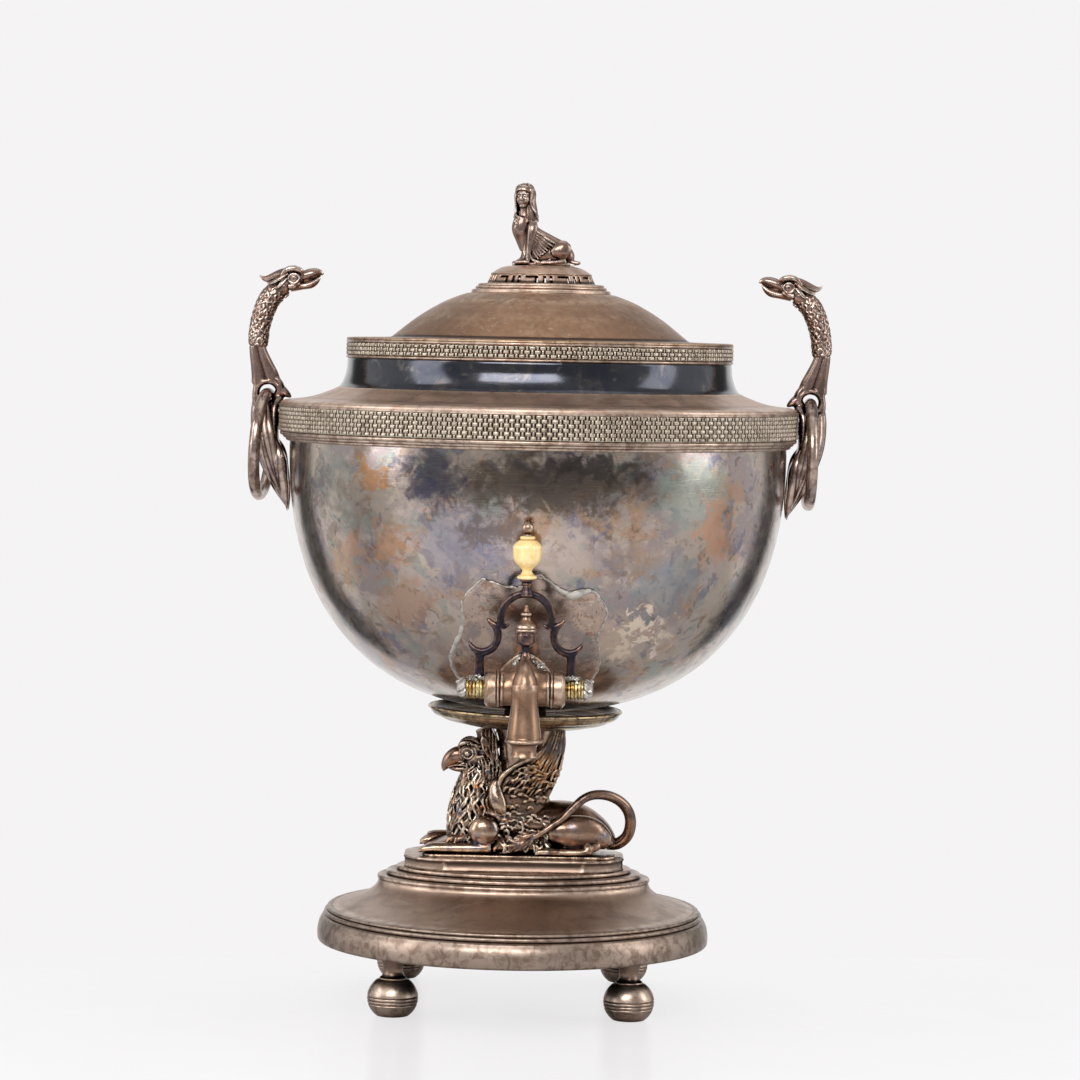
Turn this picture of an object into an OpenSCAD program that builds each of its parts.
// Tea urn of the samovar kind: a round plated bowl on a griffin, a stepped base and four ball feet.
// Millimetres, +Z up, the front with its tap looks along -Y.
// The origin is on the table, in the middle of the four feet.

/* [Feet] */
// Distance between the centres of two neighbouring feet
foot_pitch = 120; // [100:1:126]
// Widest diameter of a foot's ball
foot_ball_d = 26; // [20:0.5:30]
// Height from the table to the underside of the base
foot_h = 30.5; // [26:0.5:40]
// Diameter of the screwed stud on each foot
stud_d = 4; // [3:0.5:5]

/* [Base] */
// Outer diameter of the base's rim
base_d = 204; // [190:1:220]
// Height of the plain rim band
rim_h = 13; // [10:0.5:18]
// Height of the reeding above the rim band
reed_h = 4.6; // [3:0.2:7]
// Height of the hollow cove above the reeding
cove_h = 14.1; // [10:0.5:20]
// Wall of the base's sheet metal
base_wall = 2.4; // [1.5:0.1:3]
// Thickness of the plate that closes the base
plate_t = 2; // [1.5:0.5:4]
// Length of the lowest of the three oval steps
step_l = 142.4; // [136:0.5:150]
// Depth of the lowest of the three oval steps
step_w = 96; // [90:0.5:110]
// Height of the three oval steps together
step_h = 7.5; // [6:0.5:12]
// Length of the plinth
plinth_l = 114.4; // [104:0.5:118]
// Depth of the plinth
plinth_w = 58; // [50:0.5:64]
// Height of the plinth
plinth_h = 6.3; // [4:0.1:10]

/* [Griffin] */
// Height from the plinth to the underside of the dish
griffin_h = 67.5; // [66:0.5:74]
// Thickness of the slab that the griffin is cast with
slab_t = 1.5; // [1:0.1:3]
// Diameter of the tie rod through the griffin
rod_d = 6; // [4:0.5:7]
// Diameter of the column behind the wings
column_d = 13; // [10:0.5:15]
// Radial clearance of the tie rod in what it passes
rod_gap = 0.3; // [0.2:0.1:0.6]

/* [Dish] */
// Distance of the dish's axis from the middle of the base, to the right
dish_x = 4.5; // [0:0.5:10]
// Diameter of the dish's lip
dish_d = 101.4; // [90:0.5:110]
// Height of the dish
dish_h = 10.9; // [8:0.1:14]
// Height of the boss between the dish and the bowl
boss_h = 6.6; // [5:0.1:10]

/* [Bowl] */
// Distance of the bowl's axis from the middle of the base, to the right
bowl_x = 8.6; // [4:0.1:16]
// Outer diameter of the bowl at its rim
bowl_d = 258; // [250:1:266]
// Height of the rounded part of the bowl
bowl_h = 138; // [132:1:146]
// Thickness of the bowl's wall
bowl_wall = 1.6; // [1.2:0.1:2.5]
// How far the woven band stands proud of the bowl
band_proud = 6; // [5:0.1:9]
// Height of the woven band with its mouldings
band_h = 19.4; // [17:0.2:24]
// Height of the plain collar from the band to the lid
neck_h = 24.1; // [20:0.5:30]
// Outer diameter of the collar's mouth
mouth_d = 199.2; // [190:0.2:203]
// Wall of the collar
neck_wall = 1.6; // [1.2:0.1:2.5]

/* [Lid] */
// How far the lid's woven rim stands proud of the collar's mouth
lid_proud = 0.9; // [0.5:0.1:3]
// Height of the lid's woven rim
lid_band_h = 9.7; // [8:0.1:12]
// Height of the lid's dome over its rim
dome_h = 25.4; // [20:0.2:32]
// Thickness of the dome
dome_wall = 1.4; // [1:0.1:2]
// Radial clearance of the lid's bezel in the collar
bezel_gap = 0.6; // [0.4:0.1:1.5]
// Depth that the bezel reaches into the collar
bezel_h = 9; // [6:0.5:14]
// Outer diameter of the vent cap
cap_d = 72.2; // [66:0.2:78]
// Height of the vent cap
cap_h = 14.4; // [12:0.2:18]
// Number of vent slots round the cap
slot_count = 24; // [16:1:30]

/* [Tap] */
// Distance of the tap from the bowl's axis, to the left
tap_left = 4.2; // [0:0.1:8]
// Gap between the bowl and the back of the upright knob
lever_gap = 3.44; // [1.5:0.02:14]
// Height of the cross barrel over the lowest point of the bowl
tap_rise = 22.8; // [20:0.2:26]
// Diameter of the cross barrel
barrel_d = 17; // [15:0.5:19]
// Length of the cross barrel between its caps
barrel_l = 24.8; // [22:0.2:27]
// Length of a barrel cap
cap_l = 7.3; // [5:0.1:8]
// Diameter of the turning plug
plug_d = 10; // [8:0.2:11]
// Radial clearance of the plug in the barrel
plug_gap = 0.05; // [0.02:0.01:0.09]
// Length of each end of the plug outside the caps
plug_end = 8.9; // [8:0.1:12]
// Diameter of the water way
bore_d = 6; // [4:0.5:7]
// Diameter of the shank through the bowl's wall
shank_d = 12; // [10:0.5:14]
// Distance of the spout in front of the barrel
spout_reach = 16; // [14:0.5:20]
// Distance of the spout's mouth below the barrel
spout_drop = 32; // [28:0.5:36]
// How far the lever turns forward from shut to fully open
lever_turn = 90; // [60:5:90]

/* [Lever] */
// Height of the arch's centre over the barrel
arch_z = 33.9; // [32:0.1:40]
// Outer radius of the arch
arch_r = 14.1; // [13:0.1:17]
// Width of the lever's bar
bar_w = 3.3; // [2.6:0.1:3.8]
// Thickness of the lever from front to back
bar_t = 3.4; // [2.5:0.1:5]
// Height of the knob
knob_h = 21; // [18:0.5:26]
// Widest diameter of the knob
knob_d = 14.4; // [11:0.2:15]

/* [Handles] */
// Distance of a ring's pivot outside the woven band
eye_proud = 6; // [5.5:0.1:9]
// Height of the ring's eye over the band's top edge
eye_up = 5.3; // [5:0.1:9]
// Diameter of the eye's hole
eye_d = 8.8; // [8.2:0.1:9]
// Thickness of the handle at the eye
eye_t = 7; // [6:0.5:8]
// Height of an eagle's neck and head over the handle
eagle_h = 40; // [36:0.5:46]
// Outer diameter of a ring
ring_d = 58.8; // [56:0.2:66]
// Thickness of a ring's wire
ring_wire = 6; // [5:0.2:6.4]

/* [Heater] */
// Outer diameter of the sleeve for the heating iron
sleeve_d = 52; // [44:1:60]
// Height of the sleeve over the bowl's floor
sleeve_h = 142; // [120:1:150]
// Diameter of the heating iron
iron_d = 44; // [36:1:44]
// Gap between the iron's lifting eye and the sleeve's cover
iron_gap = 2; // [1:0.5:20]

/* [Hidden] */

$fn = 64;
eps = 0.01;
fit = 0.05;                                  // gap between a faceted casting and what it is fitted to

plated = "#8d776a";
dark_plate = "#5d5560";
bronze = "#5c4f45";
copper = "#8f6a58";
brass = "#b08a4a";
steel = "#77797c";

// Heights of the stack, from the table up
rim_top = foot_h + rim_h;
reed_top = rim_top + reed_h;
cove_top = reed_top + cove_h;
step_top = cove_top + step_h;
plinth_top = step_top + plinth_h;
slab_top = plinth_top + slab_t;
dish_z = plinth_top + griffin_h;
dish_floor = dish_z + bowl_wall;
bowl_z = dish_floor + boss_h;
bowl_top = bowl_z + bowl_h;
band_top = bowl_top + band_h;
mouth_z = band_top + neck_h;
lid_top = mouth_z + lid_band_h;
dome_top = lid_top + dome_h;
cap_top = dome_top + cap_h;

// Numbers that several pieces share
base_r = base_d / 2;
bowl_r = bowl_d / 2;
band_r = bowl_r + band_proud;
mouth_r = mouth_d / 2;
lid_r = mouth_r + lid_proud;
cap_r = cap_d / 2;
stud_small = 1.6;                            // radius of the sphinx's stud
bore_r = bore_d / 2;
rod_r = rod_d / 2;
rod_hole = rod_r + rod_gap;
column_r = column_d / 2;
shank_r = shank_d / 2;
plug_r = plug_d / 2;
plug_hole = plug_r + plug_gap;
rim_inner = base_r - base_wall;
nut_h = 3.2;
bezel_r = mouth_r - neck_wall - bezel_gap;
dome_hole = cap_r - 8;
stud_r = stud_d / 2;
stud_up = plate_t + nut_h + 1;
tap_x = bowl_x - tap_left;
tap_z = bowl_z + tap_rise;
patch_t = 0.9;                               // thickness of the shield-shaped patch behind the tap
barrel_half = barrel_l / 2;
caps_out = barrel_half + cap_l;
plug_out = caps_out + plug_end;
finial_y = -6;                               // the tap's finial stands this far in front of the barrel
hood_top = barrel_d / 2 + 7;
spout_r = 6.6;
eye_z = band_top + eye_up;
eye_out = band_r + eye_proud;
ring_drop = 0.5;                             // a hanging ring's wire lies this far below the eye's centre
ring_r = (ring_d - ring_wire) / 2;
ring_lean_left = 4;                          // the left ring hangs a little askew
ring_yaw_left = 6;
neck_joint = band_top + 28.6;                // where the eagle's neck is brazed to the handle
knob_z = tap_z + arch_z + arch_r + 5.4;      // foot of the knob
knob_widest = 0.6;                           // share of the knob's height at which it is widest
stem_z = tap_z + arch_z + arch_r - bar_w / 2;

// The bowl's outline is a superellipse: r over height below the rim
bowl_power = 2.4;
function bowl_r_at(depth, r, h) = r * pow(max(0, 1 - pow(depth / h, bowl_power)), 1 / bowl_power);
// Distance in front of the bowl's axis to its outline grown by "grow", at sideways x and height z
function wall_y(grow, x, z) =
    sqrt(max(0, pow(bowl_r_at(bowl_top - z, bowl_r + grow, bowl_h + grow), 2) - x * x));

// The upright knob clears the bowl by the gap, which sets how far in front the tap stands
tap_reach = bowl_r_at(bowl_top - knob_z - knob_h * knob_widest, bowl_r, bowl_h) + knob_d / 2 + lever_gap;
backnut_flats = shank_d + 6;
backnut_h = 4.6;
// Seat of the backnut, measured back from the barrel: where the nut's lowest flat clears the wall
nut_back = tap_reach + 0.2
    - wall_y(-bowl_wall, tap_left + backnut_flats / 2 * tan(30), tap_z - backnut_flats / 2);

// ---------------------------------------------------------------- helpers

function unit(v) = v / norm(v);
function ring_point(a, rx, ry) = [rx * cos(a), ry * sin(a)];

// Catmull-Rom curve through hand-placed stops, n steps to each stretch
function curve_at(a, b, c, d, t) =
    0.5 * (2 * b + (c - a) * t + (2 * a - 5 * b + 4 * c - d) * t * t
           + (3 * b - a - 3 * c + d) * t * t * t);
function smooth(p, n) = [
    for (i = [0 : len(p) - 2], k = [0 : n - 1])
        curve_at(p[max(i - 1, 0)], p[i], p[i + 1], p[min(i + 2, len(p) - 1)], k / n),
    p[len(p) - 1]
];

// Oval section carried along a smooth line. A stop is [x, y, z, half height, half width across].
module limb(stops, steps = 3, sides = 12) {
    s = smooth(stops, steps);
    n = len(s);
    c = [for (q = s) [q[0], q[1], q[2]]];
    along = [for (i = [0 : n - 1]) unit(c[min(i + 1, n - 1)] - c[max(i - 1, 0)])];
    across = [for (t = along) unit([0, 1, 0] - t * t[1])];
    up = [for (i = [0 : n - 1]) cross(along[i], across[i])];
    points = [for (i = [0 : n - 1], k = [0 : sides - 1])
        c[i] + up[i] * s[i][3] * cos(360 * k / sides) + across[i] * s[i][4] * sin(360 * k / sides)];
    walls = [for (i = [0 : n - 2], k = [0 : sides - 1])
        let (a = i * sides + k, b = i * sides + (k + 1) % sides)
        each [[a, b, b + sides], [a, b + sides, a + sides]]];
    ends = [[for (k = [sides - 1 : -1 : 0]) k], [for (k = [0 : sides - 1]) (n - 1) * sides + k]];
    polyhedron(points, concat(walls, ends));
}

// Solid turned about a vertical axis from [radius, height] points
module turned(points) {
    rotate_extrude($fn = 96) polygon(points);
}

// Solid with a vertical front outline in X and Z, from y0 towards the front by depth
module front_plate(y0, depth) {
    translate([0, y0, 0]) rotate([90, 0, 0]) linear_extrude(depth) children();
}

// Hexagonal or square nut about the Z axis, seated at height 0
module nut(across_flats, height, hole_r, sides = 6) {
    difference() {
        cylinder(r = across_flats / 2 / cos(180 / sides), h = height, $fn = sides);
        translate([0, 0, -eps]) cylinder(r = hole_r, h = height + 2 * eps, $fn = 32);
    }
}

module oval(rx, ry, sides = 64) {
    polygon([for (k = [0 : sides - 1]) ring_point(360 * k / sides, rx, ry)]);
}

// Points of the bowl's outline from the lowest point to the rim, grown or shrunk by "grow"
function bowl_line(grow, n = 22) = [
    for (k = [0 : n])
        let (a = 90 * k / n, h = bowl_h + grow, r = bowl_r + grow,
             depth = h * pow(cos(a), 2 / bowl_power))
        [k == 0 ? 0 : bowl_r_at(depth, r, h), bowl_top - depth]
];

// Everything inside the bowl's outline grown by "grow", up to height "top"
module bowl_form(grow, top) {
    translate([bowl_x, 0, 0])
        turned(concat(bowl_line(grow), [[bowl_r + grow, top], [0, top]]));
}

// ---------------------------------------------------------------- feet

foot_places = [[-1, -1], [1, -1], [-1, 1], [1, 1]] * (foot_pitch / 2);

module foot(place) {
    ball_r = foot_ball_d / 2;
    ball_z = 9.3;
    ball_v = 11.8;                           // half height of the ball before its flat is cut
    neck_z = 24;
    ball_top = 18.4;
    ball = [for (k = [0 : 12]) let (z = ball_top * k / 12)
        [ball_r * sqrt(1 - pow((z - ball_z) / ball_v, 2)), z]];
    color(plated)
    translate([place[0], place[1], 0]) turned(concat(
        [[0, 0]], ball,
        [[6.2, ball_top + 0.8], [5.4, ball_top + 2.6], [5, neck_z], [5.5, neck_z + 2.6],
         [6.6, foot_h - 1], [6.6, foot_h], [stud_r, foot_h], [stud_r, foot_h + stud_up],
         [0, foot_h + stud_up]]));
}
module foot_front_left() { foot(foot_places[0]); }
module foot_front_right() { foot(foot_places[1]); }
module foot_rear_left() { foot(foot_places[2]); }
module foot_rear_right() { foot(foot_places[3]); }

module foot_nuts() {
    color(brass)
    for (p = foot_places)
        translate([p[0], p[1], foot_h + plate_t]) nut(stud_d + 4, nut_h, stud_r);
}

// ---------------------------------------------------------------- base

module base_plate() {
    color(copper)
    difference() {
        translate([0, 0, foot_h]) cylinder(r = rim_inner, h = plate_t);
        for (p = foot_places)
            translate([p[0], p[1], foot_h - eps]) cylinder(r = stud_r, h = plate_t + 2 * eps);
    }
}

ledge_r = base_r - 7.4;                      // outer radius of the cove's foot on the reeding

module base_rim() {
    color(plated)
    turned([
        [base_r - 0.5, foot_h], [base_r, foot_h + 1], [base_r - 0.3, foot_h + rim_h * 0.5],
        [base_r - 1.4, foot_h + rim_h * 0.84], [base_r - 2.9, rim_top],
        [base_r - 4.1, rim_top + reed_h * 0.3], [base_r - 4.3, rim_top + reed_h * 0.55],
        [base_r - 5.6, rim_top + reed_h * 0.7], [base_r - 5.9, reed_top],
        [ledge_r - base_wall - 1, reed_top], [ledge_r - base_wall - 1, reed_top - base_wall],
        [rim_inner, rim_top - base_wall], [rim_inner, foot_h]]);
}

// Half length and half depth of the cove at a share t of its height: round below, oval above
function cove_size(t, inset) =
    let (reach = pow(1 - t, 2.1))
    [step_l / 2 - 0.6 + (ledge_r - step_l / 2) * reach - inset,
     step_w / 2 - 0.6 + (ledge_r - step_w / 2) * reach - inset];

module base_cove() {
    sides = 48;
    rings = 8;
    outer = [for (i = [0 : rings]) let (t = i / rings, s = cove_size(t, 0))
        each [for (k = [0 : sides - 1])
            [each ring_point(360 * k / sides, s[0], s[1]), reed_top + cove_h * t]]];
    inner = [for (i = [rings : -1 : 0]) let (t = i / rings, s = cove_size(t, base_wall))
        each [for (k = [0 : sides - 1])
            [each ring_point(360 * k / sides, s[0], s[1]), reed_top + cove_h * t]]];
    n = 2 * (rings + 1);
    walls = [for (i = [0 : n - 1], k = [0 : sides - 1])
        let (j = (i + 1) % n, a = i * sides + k, b = i * sides + (k + 1) % sides,
             c = j * sides + (k + 1) % sides, d = j * sides + k)
        each [[a, c, b], [a, d, c]]];
    color(plated) polyhedron(concat(outer, inner), walls);
}

step_inset = [0, 4.7, 9.9];                  // each oval step stands in by this much all round
module base_steps() {
    top_wall = 2.5;
    color(plated)
    difference() {
        for (i = [0 : 2])
            translate([0, 0, cove_top + step_h * i / 3])
                linear_extrude(step_h / 3) oval(step_l / 2 - step_inset[i], step_w / 2 - step_inset[i]);
        translate([0, 0, cove_top - eps]) linear_extrude(step_h - top_wall + eps)
            oval(step_l / 2 - step_inset[2] - base_wall, step_w / 2 - step_inset[2] - base_wall);
        translate([dish_x, 0, cove_top]) cylinder(r = rod_hole, h = step_h + 1);
    }
}

module plinth() {
    l = plinth_l / 2;
    w = plinth_w / 2;
    corner = 19;                             // length of the angled corner along the plinth
    color(plated)
    difference() {
        translate([0, 0, step_top]) linear_extrude(plinth_h)
            polygon([[-l, -w * 0.42], [-l + corner * 0.35, -w * 0.8], [-l + corner, -w],
                     [l - corner, -w], [l - corner * 0.35, -w * 0.8], [l, -w * 0.42],
                     [l, w * 0.42], [l - corner * 0.35, w * 0.8], [l - corner, w],
                     [-l + corner, w], [-l + corner * 0.35, w * 0.8], [-l, w * 0.42]]);
        translate([dish_x, 0, step_top - 1]) cylinder(r = rod_hole, h = plinth_h + 2);
    }
}

// ---------------------------------------------------------------- griffin

// Places on the griffin are heights over its slab, scaled to the height that it fills
function g(h) = slab_top + h * (dish_z - slab_top) / 66;

// What the griffin's castings are cut to: the dish above, the rod and the column in the middle
module griffin_cuts() {
    translate([dish_x, 0, plinth_top - 1]) cylinder(r = rod_hole, h = griffin_h + 2, $fn = 32);
    translate([dish_x, 0, column_foot]) cylinder(r = column_r + fit, h = griffin_h, $fn = 32);
    translate([dish_x, 0, 0]) turned(concat(dish_line(fit), [[0, dish_z + dish_h], [0, dish_z - fit]]));
}
column_foot = g(22);

module griffin_torso() {
    limb([[-34, 0, g(13), 5, 7], [-28, 0, g(15), 13, 13], [-14, 0, g(17), 16, 17],
          [4, 0, g(15), 14, 17], [20, 0, g(13), 12, 17], [34, 0, g(12), 11.5, 17],
          [45, 0, g(9), 8.5, 14], [51, 0, g(6), 3.5, 7]], 3, 20);
    limb([[-20, 0, g(14), 12, 13], [-22, 0, g(26), 11, 12], [-20, 0, g(38), 9.5, 10],
          [-17, 0, g(46), 8, 8.5]], 3, 16);
}

module griffin_leg(side) {
    limb([[-8, side * 14, g(14), 4, 3], [-18, side * 15, g(11), 7.5, 6], [-25, side * 15, g(8), 5, 5],
          [-33, side * 14, g(4.4), 4.2, 4.4], [-43, side * 13, g(4.6), 4.4, 5],
          [-49, side * 13, g(3.4), 3, 4]], 3, 12);
    limb([[-18, side * 15, g(7), 4, 4], [-10, side * 15, g(3), 3.4, 4]], 2, 10);
    limb([[43, side * 12, g(10), 4, 4], [32, side * 16, g(10), 9.4, 7], [22, side * 17, g(7), 6.4, 6],
          [14, side * 17, g(4), 4, 4.6]], 3, 14);
    limb([[44, side * 17, g(3), 2.8, 3.6], [28, side * 19, g(3), 2.9, 4], [16, side * 19, g(3.3), 3.2, 4.6],
          [11, side * 18, g(2.4), 2, 3.4]], 2, 10);
}

module griffin_body() {
    l0 = 47.5;
    l1 = 53;
    w = 23.5;
    color(bronze)
    difference() {
        union() {
            translate([0, 0, plinth_top]) linear_extrude(slab_t)
                polygon([[-l0, -w * 0.7], [-l0 + 5, -w], [l1 - 6, -w], [l1, -w * 0.7],
                         [l1, w * 0.7], [l1 - 6, w], [-l0 + 5, w], [-l0, w * 0.7]]);
            intersection() {
                union() {
                    griffin_torso();
                    for (side = [-1, 1]) griffin_leg(side);
                }
                translate([-80, -50, slab_top - eps]) cube([160, 100, 80]);
            }
        }
        griffin_cuts();
        griffin_wing_block(-1, fit);
        griffin_wing_block(1, fit);
        head_seat(fit);
    }
}

// The head is cast apart and brazed on above this level
head_level = g(40);
module head_seat(gap) {
    translate([-60, -30, head_level - gap]) cube([60, 60, 60]);
}

module griffin_head() {
    color(bronze)
    difference() {
        intersection() {
            union() {
                limb([[-20, 0, g(38), 9.5, 10], [-17, 0, g(46), 9.5, 9], [-19, 0, g(54), 8.5, 8.4],
                      [-24, 0, g(58), 5, 6]], 3, 16);
                limb([[-15, 0, g(53), 7, 7.4], [-23, 0, g(53.5), 8, 7.4], [-28, 0, g(52), 6.4, 5.6],
                      [-34, 0, g(50.6), 4.4, 3.8], [-36.6, 0, g(47), 2.6, 2.2], [-37, 0, g(43.4), 0.8, 0.8]],
                     3, 14);
                limb([[-22, 0, g(45.4), 4, 4.4], [-29, 0, g(45), 2.2, 3], [-33.6, 0, g(45.4), 1, 1.4]], 3, 10);
                limb([[-14, 0, g(54), 5, 5.6], [-17, 0, g(61), 4, 4.6], [-19, 0, g(67), 3.6, 4.4]], 3, 12);
                for (side = [-1, 1])
                    limb([[-17, side * 5, g(54), 2.6, 2], [-14, side * 7.6, g(59), 2, 1.6],
                          [-12, side * 9, g(63), 0.6, 0.6]], 3, 8);
            }
            translate([-60, -30, head_level]) cube([60, 60, 60]);
        }
        griffin_cuts();
    }
}

// One wing, cut as a plate from its side outline and leaned inwards at the top
wing_lean = 7;
module griffin_wing_block(side, grow) {
    outline = smooth([[-13, g(14)], [-15, g(24)], [-9, g(34)], [-3, g(43)], [8, g(48.5)],
                      [17, g(56)], [19.6, g(67)], [28, g(67)], [28, g(54)], [25.4, g(42)],
                      [20.6, g(31)], [16, g(22)], [4, g(14)], [-13, g(14)]], 2);
    foot_y = 13.4;
    thick = 5.6;
    intersection() {
        translate([0, side * foot_y, g(14)]) rotate([side * wing_lean, 0, 0]) translate([0, 0, -g(14)])
            translate([0, thick / 2 + grow, 0]) rotate([90, 0, 0]) linear_extrude(thick + 2 * grow)
                polygon(outline);
        translate([-40, -40, slab_top]) cube([80, 80, griffin_h]);
    }
}
module griffin_wing(side) {
    color(bronze)
    difference() {
        griffin_wing_block(side, 0);
        griffin_cuts();
    }
}
module griffin_wing_front() { griffin_wing(-1); }
module griffin_wing_rear() { griffin_wing(1); }

module griffin_tail() {
    color(bronze)
    difference() {
        limb([[49, 0, g(5), 2.4, 2.4], [54, -1, g(3), 2.7, 2.7], [58.4, -3, g(6), 2.7, 2.7],
              [60, -5, g(13), 2.7, 2.7], [58, -8, g(21), 2.7, 2.7], [52.6, -12, g(27.6), 2.6, 2.6],
              [45, -16, g(30), 2.6, 2.6], [37.4, -19, g(28), 2.6, 2.6], [32, -20.6, g(22.6), 2.6, 2.6],
              [26, -21.4, g(18.6), 2.8, 2.8], [19, -21.6, g(15), 3, 2.6], [13, -20.8, g(11), 0.8, 0.8]],
             3, 10);
        griffin_torso();
        griffin_leg(-1);
        translate([-80, -60, -20 + slab_top]) cube([160, 120, 20]);
    }
}

module support_column() {
    color(bronze)
    translate([dish_x, 0, 0])
    turned([[rod_hole, column_foot], [column_r, column_foot], [column_r, column_foot + 8],
            [column_r - 1.4, column_foot + 10], [column_r - 1.8, dish_z - 8], [column_r, dish_z - 4],
            [column_r, dish_z], [rod_hole, dish_z]]);
}

rod_foot = step_top - 2.5 - 1.2 - nut_h - 1.4;
module tie_rod() {
    color(steel)
    translate([dish_x, 0, rod_foot]) cylinder(r = rod_r, h = bowl_z - 2 - rod_foot);
}
module tie_washer() {
    color(steel)
    translate([dish_x, 0, step_top - 2.5 - 1.2]) difference() {
        cylinder(r = rod_d, h = 1.2);
        translate([0, 0, -eps]) cylinder(r = rod_r, h = 1.2 + 2 * eps);
    }
}
module tie_nut() {
    color(steel)
    translate([dish_x, 0, step_top - 2.5 - 1.2 - nut_h]) nut(rod_d + 4, nut_h, rod_r);
}

// ---------------------------------------------------------------- dish and bowl

dish_foot_r = 23.6;
// Underside of the dish from its foot to its lip, set out by "gap"
function dish_line(gap) = [
    [dish_foot_r, dish_z - gap],
    each [for (k = [0 : 7]) let (t = k / 7)
        [dish_foot_r + gap + (dish_d / 2 - dish_foot_r) * sin(90 * t) ,
         dish_z - gap + dish_h * (1 - cos(90 * t))]]
];

module dish() {
    wall = bowl_wall;
    under = dish_line(0);
    inside = [for (k = [len(under) - 1 : -1 : 1]) [under[k][0] - wall * 0.7, under[k][1] + wall]];
    color(plated)
    translate([dish_x, 0, 0]) turned(concat(
        [[rod_hole, dish_z]], under, [[dish_d / 2, dish_z + dish_h + wall * 0.6]], inside,
        [[rod_hole, dish_z + wall]]));
}

module bowl_boss() {
    color(copper)
    difference() {
        translate([dish_x, 0, dish_floor]) cylinder(r = 11, h = boss_h + 2);
        translate([dish_x, 0, dish_floor - eps]) cylinder(r = rod_r, h = bowl_z - 2 - dish_floor + eps);
        bowl_form(0, bowl_top);
    }
}

module bowl() {
    outer = bowl_line(0);
    inner = bowl_line(-bowl_wall);
    color(dark_plate)
    difference() {
        translate([bowl_x, 0, 0]) turned(concat(
            outer, [[bowl_r, band_top], [bowl_r - bowl_wall, band_top]],
            [for (k = [len(inner) - 1 : -1 : 0]) inner[k]]));
        tap_hole(shank_r);
        handle_screw_holes();
    }
}

// Straight hole for the tap's shank, from in front of the bowl to inside it
module tap_hole(r) {
    translate([tap_x, -bowl_r, tap_z]) rotate([-90, 0, 0]) cylinder(r = r, h = bowl_r, $fn = 48);
}

module shoulder_band() {
    r = band_r;
    z0 = bowl_top;
    h = band_h;
    color(plated)
    difference() {
        translate([bowl_x, 0, 0]) turned([
            [bowl_r, z0 + h * 0.02], [bowl_r + 1.6, z0 + h * 0.03], [bowl_r + 2.4, z0 + h * 0.1],
            [bowl_r + 2, z0 + h * 0.14], [r - 1.8, z0 + h * 0.18], [r - 1.4, z0 + h * 0.24],
            [r - 0.7, z0 + h * 0.28], [r - 0.7, z0 + h * 0.86], [r, z0 + h * 0.9],
            [r, z0 + h * 0.97], [r - 0.6, z0 + h], [bowl_r, z0 + h]]);
        handle_screw_holes();
    }
}

// The shoulder's sloping plate and the collar's neck are soldered together at this height over the band
seam_up = 9.2;
seam = [[mouth_r + 4.4, band_top + seam_up], [mouth_r + 1.6, band_top + seam_up]];
plate_line = [[band_r - 0.9, band_top], [band_r - 1.2, band_top + 1.2], [band_r - 4, band_top + 2.2],
              [band_r - 15, band_top + 3.4], [mouth_r + 11, band_top + 6.2], seam[0]];

module shoulder_plate() {
    color(plated)
    translate([bowl_x, 0, 0]) turned(concat(
        plate_line,
        [seam[1], [mouth_r + 7.4, band_top + 5.4], [bowl_r - 9, band_top + 1.2],
         [bowl_r - bowl_wall, band_top]]));
}

module neck_collar() {
    color(dark_plate)
    translate([bowl_x, 0, 0]) turned([
        seam[0], [mouth_r + 2, band_top + 13], [mouth_r + 0.4, band_top + 19], [mouth_r, mouth_z],
        [mouth_r - neck_wall, mouth_z], [mouth_r - neck_wall, band_top + 14], seam[1]]);
}

module tap_patch() {
    shield = [[-14, 64], [-2, 60], [6, 62], [14, 66], [23, 60], [32, 57], [41, 58], [48, 48],
              [43, 34], [45, 20], [38, 9], [24, 2], [6, 1], [-10, 2], [-23, 10], [-29, 22],
              [-24, 38], [-23, 54]];
    color(plated)
    difference() {
        intersection() {
            bowl_form(patch_t, bowl_top);
            front_plate(-40, bowl_r) translate([tap_x - 8, tap_z - 12]) polygon(shield);
        }
        bowl_form(0, bowl_top + 1);
        tap_hole(shank_r);
    }
}

// ---------------------------------------------------------------- tap

module at_tap() {
    translate([tap_x, -tap_reach, tap_z]) children();
}

nozzle_z = -spout_drop + 6.6;                // flared ring over the nozzle
function spout_line() = [
    [0, 8.6], [3.4, 8], [5.6, 6.2], [spout_r, 3], [spout_r - 0.2, -3.4], [spout_r + 0.3, -9],
    [spout_r + 1.3, -14], [spout_r + 1.9, nozzle_z + 1.8], [spout_r + 2.7, nozzle_z + 0.9],
    [spout_r + 2.6, nozzle_z], [spout_r - 0.3, nozzle_z - 1], [spout_r - 0.7, nozzle_z - 3.2],
    [spout_r + 0.2, -spout_drop + 0.8], [spout_r + 0.2, -spout_drop], [0, -spout_drop]
];

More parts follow.
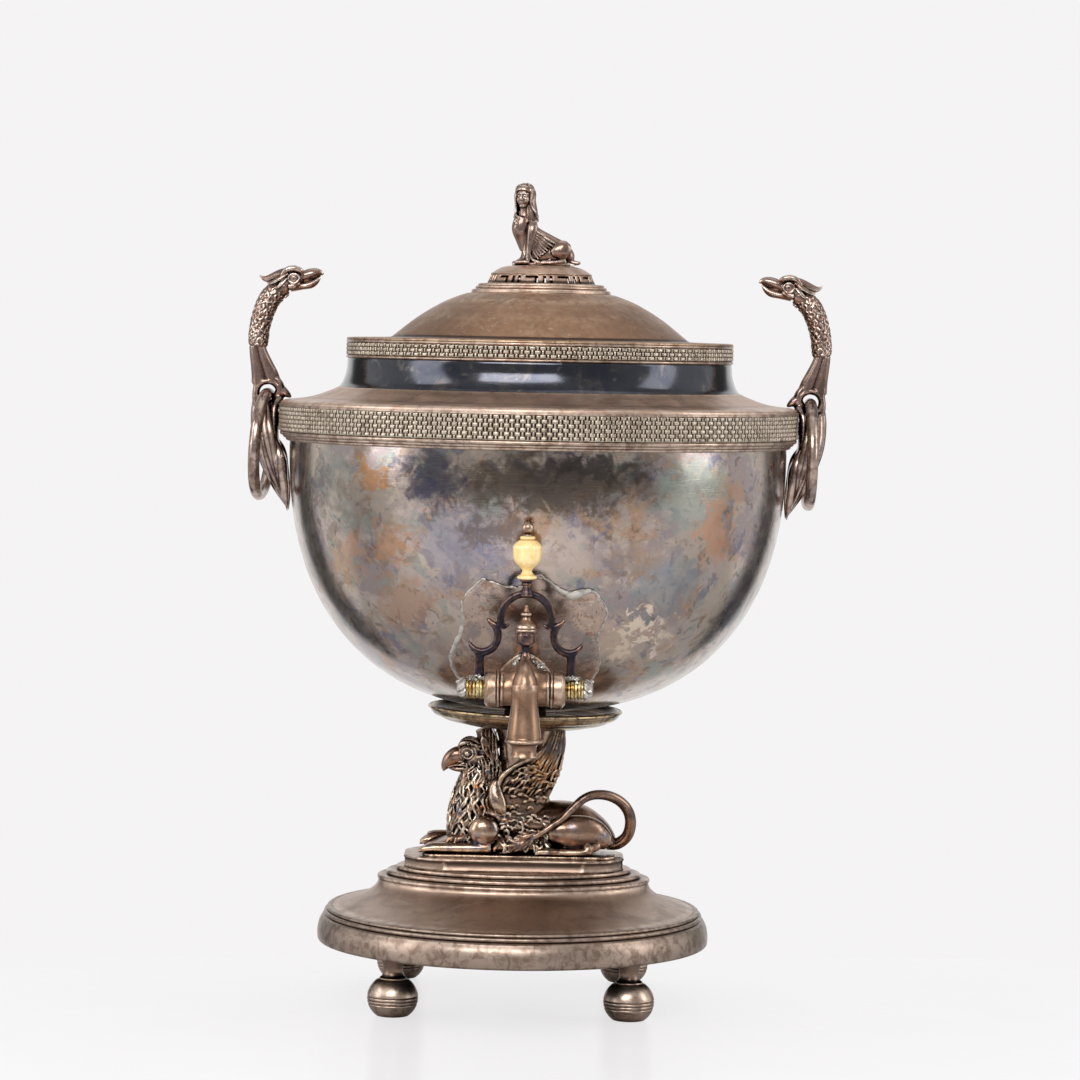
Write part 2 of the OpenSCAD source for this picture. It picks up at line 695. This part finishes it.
module tap_body() {
    tail = nut_back + backnut_h + 3;
    flange_r = 14.8;
    flange_t = 3.6;
    hood = [[-barrel_half, 0], [-barrel_half, barrel_d / 2], [-8, barrel_d / 2 + 0.6],
            [-4.6, barrel_d / 2 + 3.2], [-2.2, hood_top - 1], [0, hood_top], [2.2, hood_top - 1],
            [4.6, barrel_d / 2 + 3.2], [8, barrel_d / 2 + 0.6], [barrel_half, barrel_d / 2],
            [barrel_half, 0]];
    side = [[-8.6, -10], [8, -10], [10, 0], [9, 7], [2, hood_top - 3], [finial_y + 2, hood_top],
            [finial_y - 2, hood_top], [-14, barrel_d / 2 + 0.6], [-20, 5], [-20, -8]];
    // Seen from above, the hood narrows from the barrel to the spout
    waist = spout_r + 1;
    plan = [[-barrel_half, 10], [-barrel_half, -6], [-waist - 2, -8.4], [-waist, -12], [-waist, -20],
            [waist, -20], [waist, -12], [waist + 2, -8.4], [barrel_half, -6], [barrel_half, 10]];
    color(copper)
    difference() {
        union() {
            at_tap() rotate([0, 90, 0]) cylinder(r = barrel_d / 2, h = barrel_l, center = true);
            at_tap() intersection() {
                front_plate(30, 60) polygon(hood);
                rotate([90, 0, 90]) translate([0, 0, -barrel_half])
                    linear_extrude(barrel_l) polygon(side);
                linear_extrude(hood_top + 1) polygon(plan);
            }
            at_tap() translate([0, -spout_reach, 0]) turned(spout_line());
            at_tap() translate([-spout_r, -spout_reach, -spout_r - 1])
                cube([2 * spout_r, spout_reach, 2 * spout_r]);
            difference() {
                union() {
                    at_tap() rotate([-90, 0, 0]) cylinder(r = shank_r + 2, h = tap_reach);
                    intersection() {
                        at_tap() rotate([-90, 0, 0]) cylinder(r = flange_r, h = tap_reach);
                        bowl_form(patch_t + flange_t, bowl_top);
                    }
                }
                bowl_form(patch_t, bowl_top);
            }
            at_tap() rotate([-90, 0, 0]) cylinder(r = shank_r, h = tail);
        }
        at_tap() rotate([0, 90, 0]) cylinder(r = plug_hole, h = barrel_l + 2, center = true);
        at_tap() rotate([-90, 0, 0]) cylinder(r = bore_r, h = tail + 1);
        at_tap() rotate([90, 0, 0]) cylinder(r = bore_r, h = spout_reach);
        at_tap() translate([0, -spout_reach, -spout_drop - 1]) cylinder(r = bore_r, h = spout_drop + 1);
    }
}

module tap_saddle() {
    color(copper)
    difference() {
        intersection() {
            at_tap() rotate([-90, 0, 0]) cylinder(r = shank_r + 3.4, h = nut_back);
            bowl_form(-bowl_wall, bowl_top);
        }
        at_tap() rotate([-90, 0, 0]) cylinder(r = shank_r, h = nut_back + 1);
    }
}
module tap_backnut() {
    color(brass)
    at_tap() translate([0, nut_back, 0]) rotate([-90, 0, 0]) nut(backnut_flats, backnut_h, shank_r);
}

module tap_finial() {
    z = hood_top;
    color(copper)
    at_tap() translate([0, finial_y, 0]) turned([
        [0, z], [2.6, z], [2, z + 1], [1.7, z + 2.4], [2, z + 5.4], [3.6, z + 6.4], [4.1, z + 8],
        [4.3, z + 11.2], [4.6, z + 12], [5.1, z + 13], [5.1, z + 14], [3.8, z + 15.6], [2.4, z + 17.4],
        [1.6, z + 19.4], [1.7, z + 20.2], [2.4, z + 20.8], [1.4, z + 21.6], [1, z + 23], [0.4, z + 25.2],
        [0, z + 25.4]]);
}

module barrel_cap(side) {
    r = barrel_d / 2;
    color(copper)
    at_tap() mirror([side < 0 ? 1 : 0, 0, 0]) rotate([0, 90, 0])
        turned([[plug_hole, barrel_half], [r + 0.8, barrel_half], [r + 0.8, barrel_half + 1],
                [r + 0.3, barrel_half + 1.3], [r + 0.7, barrel_half + 2], [r + 0.7, caps_out - 1.6],
                [r - 1.4, caps_out], [plug_hole, caps_out]]);
}
module barrel_cap_left() { barrel_cap(-1); }
module barrel_cap_right() { barrel_cap(1); }

// ---------------------------------------------------------------- lever

module lever_plug() {
    color(brass)
    difference() {
        union() {
            at_tap() rotate([0, 90, 0]) cylinder(r = plug_r, h = 2 * plug_out, center = true);
            at_tap() rotate([0, 90, 0]) cylinder(r = thread_r, h = 2 * (plug_out + nut_l), center = true);
        }
        at_tap() cylinder(r = bore_r - 0.4, h = plug_d + 2, center = true);
    }
}
thread_r = plug_r - 2;
nut_l = 4.8;

module lever_nut(side) {
    color(brass)
    at_tap() mirror([side < 0 ? 1 : 0, 0, 0]) rotate([0, 90, 0])
        turned([[thread_r, plug_out], [plug_r + 0.9, plug_out], [plug_r + 0.9, plug_out + 1.4],
                [plug_r - 0.6, plug_out + nut_l - 0.4], [thread_r, plug_out + nut_l]]);
}
module lever_nut_left() { lever_nut(-1); }
module lever_nut_right() { lever_nut(1); }

// Part of a flat ring from angle a0 to a1, counted from +X towards +Z
module arc(centre, r, w, a0, a1) {
    steps = 12;
    reach = 2 * (r + w);
    translate(centre) intersection() {
        difference() {
            circle(r = r + w / 2, $fn = 64);
            circle(r = r - w / 2, $fn = 64);
        }
        polygon([[0, 0], for (k = [0 : steps]) ring_point(a0 + (a1 - a0) * k / steps, reach, reach)]);
    }
}

strap_x = caps_out + 2.6;                    // the straps stand clear of the barrel's caps
strap_w = 4.1;
module lever_half() {
    hook_r = 8.4;
    hook = [strap_x - 2.1, arch_z - 8.4];
    arc(hook, hook_r, bar_w * 0.9, 100, 330);
    translate([arch_r - 6.6, arch_z - 5.4]) square([6, 2.2]);
    translate([strap_x - strap_w / 2, plug_r - 1]) square([strap_w, hook[1] - hook_r - plug_r + 1]);
}

module lever_yoke() {
    stem_w = 3.8;
    color(dark_plate)
    difference() {
        union() {
            at_tap() front_plate(bar_t / 2, bar_t) {
                lever_half();
                mirror([1, 0]) lever_half();
                arc([0, arch_z], arch_r - bar_w / 2, bar_w, -20, 200);
            }
            at_tap() translate([0, 0, arch_z + arch_r - bar_w * 0.7])
                cylinder(r1 = stem_w / 2 + 1, r2 = stem_w / 2, h = collar_z - stem_z + bar_w * 0.2);
        }
        at_tap() rotate([0, 90, 0]) cylinder(r = plug_r, h = 3 * plug_out, center = true);
        translate([tap_x, -tap_reach, stem_z]) cylinder(r = 1.2, h = 20);
    }
}

collar_z = knob_z - 3.2;
module lever_collar() {
    color(dark_plate)
    translate([tap_x, -tap_reach, collar_z]) turned([
        [1.2, 0], [2.4, 0], [2.7, 0.9], [2.3, 1.6], [3.3, 2.5], [3.3, 3.2], [1.2, 3.2]]);
}

module lever_knob() {
    r = knob_d / 2;
    h = knob_h;
    color("#e8cf98")
    translate([tap_x, -tap_reach, knob_z]) turned([
        [1.2, 0], [4.3, 0], [4.8, h * 0.035], [4.7, h * 0.075], [3.2, h * 0.13], [2.3, h * 0.2],
        [2.6, h * 0.25], [r * 0.72, h * 0.33], [r * 0.9, h * 0.44], [r, h * knob_widest], [r * 0.99, h * 0.72],
        [r * 0.92, h * 0.78], [r * 0.8, h * 0.82], [r * 0.6, h * 0.9], [r * 0.52, h], [1.2, h]]);
}

module knob_rod() {
    color(steel)
    translate([tap_x, -tap_reach, stem_z]) cylinder(r = 1.2, h = knob_z + knob_h - stem_z);
}

module knob_ball() {
    z = knob_z + knob_h;
    ball = 2.9;
    color(copper)
    translate([tap_x, -tap_reach, 0]) turned(concat(
        [[0, z], [2.4, z], [2.4, z + 0.8], [1.4, z + 1.5]],
        [for (k = [1 : 8]) let (a = -62 + 152 * k / 8)
            [k == 8 ? 0 : ball * cos(a), z + 1.5 + ball * (sin(a) + 0.88)]]));
}

// ---------------------------------------------------------------- handles

// The handles and rings are drawn on the right and mirrored about the bowl's axis for the left
module handle_side(side) {
    translate([bowl_x, 0, 0]) mirror([side < 0 ? 1 : 0, 0, 0]) children();
}

// Everything that a handle is fitted to, grown by "gap": bowl, band and shoulder on their common axis
module shoulder_form(gap) {
    turned(concat(
        bowl_line(gap),
        [[bowl_r + gap, bowl_top], [band_r + gap, bowl_top], [band_r + gap, band_top]],
        [for (p = plate_line) [p[0] + gap, p[1] + gap]],
        [[0, band_top + seam_up + gap]]));
}

screw_z = bowl_top + band_h * 0.57;
screw_r = 2;
module handle_screw_holes() {
    for (side = [-1, 1]) handle_side(side)
        translate([bowl_r - 12, 0, screw_z]) rotate([0, 90, 0])
            cylinder(r = screw_r, h = band_proud + 14, $fn = 32);
}

module handle(side) {
    z = band_top;
    r = band_r;
    profile = concat(
        smooth([[r - 5.4, z - 52.4], [r - 2.7, z - 50], [r + 2.6, z - 40], [r + 6.3, z - 32.6],
                [r + 9, z - 14], [r + 11.4, z - 3], [r + 13, z + 5], [r + 13.6, z + 12],
                [r + 14.4, z + 19], [r + 15.4, neck_joint]], 2),
        [[r + 7.6, neck_joint]],
        smooth([[r + 6.2, z + 24], [r + 3.6, z + 17], [r - 0.4, z + 11.6], [r - 5, z + 7.4],
                [r - 8.4, z + 4.6], [r - 11, z + 2]], 2),
        [[r - 13, z - 10], [r - 15, z - 52]]);
    leaf = [[0, z - 52.6], [3.4, z - 46], [6.4, z - 38], [9, z - 28], [11.4, z - 18], [12, z - 9],
            [10, z - 4], [6, z - 0.6], [eye_t / 2, z + 1]];
    color(plated)
    handle_side(side) difference() {
        union() {
            front_plate(eye_t / 2, eye_t) polygon(profile);
            intersection() {
                front_plate(13, 26) polygon(profile);
                translate([r - 25, 0, 0]) rotate([90, 0, 90]) linear_extrude(34)
                    polygon(concat(leaf, [for (k = [len(leaf) - 1 : -1 : 0]) [-leaf[k][0], leaf[k][1]]]));
                shoulder_form(9);
            }
        }
        shoulder_form(0);
        translate([eye_out, 10, eye_z]) rotate([90, 0, 0]) cylinder(r = eye_d / 2, h = 20, $fn = 48);
        translate([bowl_r, 0, screw_z]) rotate([0, 90, 0]) cylinder(r = screw_r, h = band_proud + 6, $fn = 32);
    }
}
module handle_left() { handle(-1); }
module handle_right() { handle(1); }

// Places on an eagle are heights over the joint with its handle, scaled to its height of 44
function e(h) = neck_joint + h * eagle_h / 44;
module eagle(side) {
    r = band_r;
    color(plated)
    handle_side(side) intersection() {
        union() {
            limb([[r + 11.4, 0, e(-1), 3.9, 3.6], [r + 11.2, 0, e(4), 5.4, 5],
                  [r + 10.9, 0, e(10), 5.7, 5.4], [r + 9.6, 0, e(18), 5.8, 5.3],
                  [r + 6.6, 0, e(26), 5.9, 5], [r + 3, 0, e(32), 6, 4.8], [r - 1, 0, e(36), 5, 4.6]], 3, 14);
            limb([[r + 5, 0, e(38), 3.6, 3], [r - 1, 0, e(38.4), 5.4, 4.8],
                  [r - 6, 0, e(38.8), 5.6, 4.8], [r - 10.4, 0, e(38.6), 4.2, 3.6],
                  [r - 16, 0, e(39), 4.8, 3], [r - 19.6, 0, e(38.8), 3.6, 2.2],
                  [r - 22, 0, e(38.6), 0.9, 0.8]], 3, 12);
            limb([[r - 1, 0, e(42), 2, 4], [r + 5, 0, e(41), 2, 3.6], [r + 10.6, 0, e(41), 0.8, 1]], 3, 8);
        }
        translate([r - 40, -20, neck_joint]) cube([70, 40, 60]);
    }
}
module eagle_left() { eagle(-1); }
module eagle_right() { eagle(1); }

module handle_screws() {
    head_h = 2.2;
    seat = 0.2;                              // the flat head stands this far off the round wall
    color(brass)
    for (side = [-1, 1]) handle_side(side)
        translate([bowl_r - bowl_wall - seat, 0, screw_z]) rotate([0, 90, 0]) {
            cylinder(r = screw_r, h = band_proud + seat + 4, $fn = 32);
            translate([0, 0, -head_h]) cylinder(r = screw_r + 1.6, h = head_h, $fn = 32);
        }
}

module ring(side, lean, yaw) {
    color(plated)
    handle_side(side) translate([eye_out, 0, eye_z - ring_drop]) rotate([0, -lean, 0]) rotate([0, 0, yaw])
        translate([0, 0, -ring_r]) rotate([0, 90, 0]) rotate_extrude($fn = 96)
            translate([ring_r, 0]) circle(r = ring_wire / 2, $fn = 32);
}
module ring_left() { ring(-1, ring_lean_left, ring_yaw_left); }
module ring_right() { ring(1, 0, 0); }

// ---------------------------------------------------------------- heater

sleeve_wall = 1.2;
sleeve_top = bowl_z + bowl_wall + sleeve_h;
sleeve_floor = bowl_z + bowl_wall + 4;
cover_plug = 3;                              // depth that the cover reaches into the sleeve
iron_eye_r = 8;                              // outer radius of the iron's lifting eye
iron_neck = 5;                               // from the slug's top to the eye's lowest point
iron_l = sleeve_top - cover_plug - iron_gap - 2 * iron_eye_r - iron_neck - sleeve_floor;
module heater_sleeve() {
    color(steel)
    difference() {
        intersection() {
            translate([bowl_x, 0, bowl_z]) cylinder(r = sleeve_d / 2, h = sleeve_top - bowl_z);
            bowl_form(-bowl_wall, band_top);
        }
        translate([bowl_x, 0, sleeve_floor])
            cylinder(r = sleeve_d / 2 - sleeve_wall, h = sleeve_h);
    }
}
module sleeve_cover() {
    color(steel)
    translate([bowl_x, 0, sleeve_top]) turned([
        [0, -cover_plug], [sleeve_d / 2 - sleeve_wall - 0.3, -cover_plug],
        [sleeve_d / 2 - sleeve_wall - 0.3, 0],
        [sleeve_d / 2 + 1.4, 0], [sleeve_d / 2 + 1.4, 1.2], [5, 3], [2.6, 4.6], [4, 7], [2.6, 9], [0, 9.4]]);
}
module heating_iron() {
    color("#3c3a3a")
    translate([bowl_x, 0, sleeve_floor]) {
        cylinder(r = iron_d / 2, h = iron_l);
        translate([0, 0, iron_l - eps]) cylinder(r = 3, h = iron_neck + 1);
        translate([0, 0, iron_l + iron_neck + iron_eye_r]) rotate([90, 0, 0]) rotate_extrude($fn = 64)
            translate([iron_eye_r - 2, 0]) circle(r = 2, $fn = 24);
    }
}

// ---------------------------------------------------------------- lid

module lid_band() {
    r = lid_r;
    h = lid_band_h;
    color(plated)
    translate([bowl_x, 0, mouth_z]) turned([
        [bezel_r, 0], [r - 0.4, 0], [r, h * 0.08], [r, h * 0.17], [r - 0.7, h * 0.22],
        [r - 0.7, h * 0.76], [r, h * 0.82], [r, h * 0.94], [r - 0.5, h], [bezel_r, h]]);
}

module lid_dome() {
    w = dome_wall;
    rise = dome_h - w;
    flange_r = lid_r * 0.76;
    // Quarter of an ellipse from the flange up to the cap's hole
    line = [for (k = [0 : 10]) let (a = 6 + 66 * k / 10)
        [flange_r * cos(a) + 0.6, lid_top + w + rise * sin(a) / sin(72)]];
    outer = concat([[lid_r - 0.2, lid_top], [lid_r - 0.2, lid_top + w * 0.7], [flange_r + 3, lid_top + w]],
                   line, [[dome_hole, dome_top]]);
    inner = concat([[dome_hole, dome_top - w]],
                   [for (k = [10 : -1 : 0]) [line[k][0] - w, line[k][1] - w]], [[flange_r, lid_top]]);
    color(plated) translate([bowl_x, 0, 0]) turned(concat(outer, inner));
}

module lid_bezel() {
    color(plated)
    translate([bowl_x, 0, mouth_z - bezel_h]) turned([
        [bezel_r - 1.2, 0], [bezel_r, 0], [bezel_r, bezel_h + lid_band_h], [bezel_r - 1.2, bezel_h + lid_band_h]]);
}

module vent_cap() {
    r = cap_r;
    h = cap_h;
    w = 1.6;
    top_r = r * 0.5;
    slot_z = dome_top + h * 0.36;
    color(plated)
    translate([bowl_x, 0, 0])
    difference() {
        turned([[r, dome_top], [r, dome_top + h * 0.12], [r - 2, dome_top + h * 0.16],
                [r - 2.6, dome_top + h * 0.26], [r - 4.6, dome_top + h * 0.3], [r - 6.2, dome_top + h * 0.34],
                [r - 7.8, dome_top + h * 0.5], [r - 10.2, dome_top + h * 0.7], [r - 13.6, dome_top + h * 0.88],
                [top_r, dome_top + h], [stud_small, dome_top + h], [stud_small, dome_top + h - w],
                [top_r - 1, dome_top + h - w], [r - 14.6, dome_top + h * 0.88 - w],
                [r - 11.8, dome_top + h * 0.62], [r - 9.4, dome_top + h * 0.4], [r - 9, dome_top]]);
        for (k = [0 : slot_count - 1]) rotate([0, 0, 360 * (k + 0.5) / slot_count])
            translate([r - 14, -1.2, slot_z]) cube([12, 2.4, h * 0.26]);
    }
}

// Heights on the sphinx, over the cap's flat top
function s(h) = cap_top + h;
sphinx_mid = 15.6;                           // the middle of the sphinx along its own length
module sphinx() {
    color(plated)
    translate([bowl_x - sphinx_mid, 0, 0])
    intersection() {
        union() {
            limb([[6.4, 0, s(8), 3, 3.6], [4.8, 0, s(14), 4.4, 4.6], [5.2, 0, s(20), 5, 5.2],
                  [6, 0, s(25), 3.4, 3.4], [6, 0, s(28), 2.6, 2.6]], 3, 12);
            limb([[7, 0, s(19), 4.4, 4.6], [13, 0, s(14.6), 5.6, 5.2], [20, 0, s(10.6), 6, 5.4],
                  [26, 0, s(7), 5.2, 5], [30.4, 0, s(3.6), 2, 2.6]], 3, 12);
            limb([[4.6, -1, s(27.6), 2, 2.2], [4.4, -1, s(32), 4.2, 4], [4.6, -0.8, s(37), 4.8, 4.6],
                  [4.8, -0.6, s(41), 3.4, 3.4], [4.8, -0.6, s(43), 0.8, 0.8]], 3, 12);
            limb([[6.4, 0.4, s(40), 3, 4], [8.2, 0.8, s(34), 2.6, 5], [10, 0.6, s(27), 2, 4.6],
                  [11.4, 0, s(22), 1, 3]], 2, 10);
            for (side = [-1, 1]) {
                limb([[7.4, side * 3.4, s(20), 2.2, 2.2], [6.6, side * 3.6, s(12), 1.7, 1.7],
                      [5.8, side * 3.6, s(4), 1.5, 1.5], [5.6, side * 3.6, s(0.4), 1.5, 1.6]], 2, 8);
                limb([[6.4, side * 3.6, s(1.4), 1.2, 1.5], [3, side * 3.6, s(1.3), 1.2, 1.7],
                      [0.4, side * 3.6, s(1), 0.8, 1.2]], 2, 8);
                limb([[27, side * 3.6, s(9), 3.4, 2.4], [24, side * 4.4, s(6), 4.4, 3],
                      [21.4, side * 4.6, s(2.6), 2.6, 2.4]], 2, 10);
                limb([[23, side * 4.6, s(1.4), 1.4, 1.8], [16, side * 4.8, s(1.4), 1.3, 1.7]], 1, 8);
            }
            limb([[29, 0, s(3), 1.4, 1.4], [34.4, -1, s(1.3), 0.9, 0.9]], 1, 8);
        }
        translate([-30, -20, s(sphinx_base_t)]) cube([90, 40, 60]);
    }
}

sphinx_base_t = 0.9;
module sphinx_base() {
    color(plated) {
        translate([bowl_x, 0, s(0)]) linear_extrude(sphinx_base_t) oval(17.6, 6.6, 32);
        translate([bowl_x, 0, s(-5.6)]) cylinder(r = stud_small, h = 5.6 + eps, $fn = 32);
    }
}

module sphinx_nut() {
    color(brass)
    translate([bowl_x, 0, s(-1.6 - 2.4)]) nut(6.4, 2.4, stud_small, 4);
}

foot_front_left();
foot_front_right();
foot_rear_left();
foot_rear_right();
foot_nuts();
base_plate();
base_rim();
base_cove();
base_steps();
plinth();
griffin_body();
griffin_head();
griffin_wing_front();
griffin_wing_rear();
griffin_tail();
support_column();
tie_rod();
tie_washer();
tie_nut();
dish();
bowl_boss();
bowl();
shoulder_band();
shoulder_plate();
neck_collar();
tap_patch();
tap_body();
tap_saddle();
tap_backnut();
tap_finial();
barrel_cap_left();
barrel_cap_right();
handle_left();
handle_right();
eagle_left();
eagle_right();
handle_screws();
heater_sleeve();
sleeve_cover();
heating_iron();
lid_band();
lid_dome();
lid_bezel();
vent_cap();
sphinx_base();
sphinx();
sphinx_nut();
lever_plug();
lever_yoke();
lever_nut_left();
lever_nut_right();
lever_collar();
lever_knob();
knob_rod();
knob_ball();
ring_left();
ring_right();
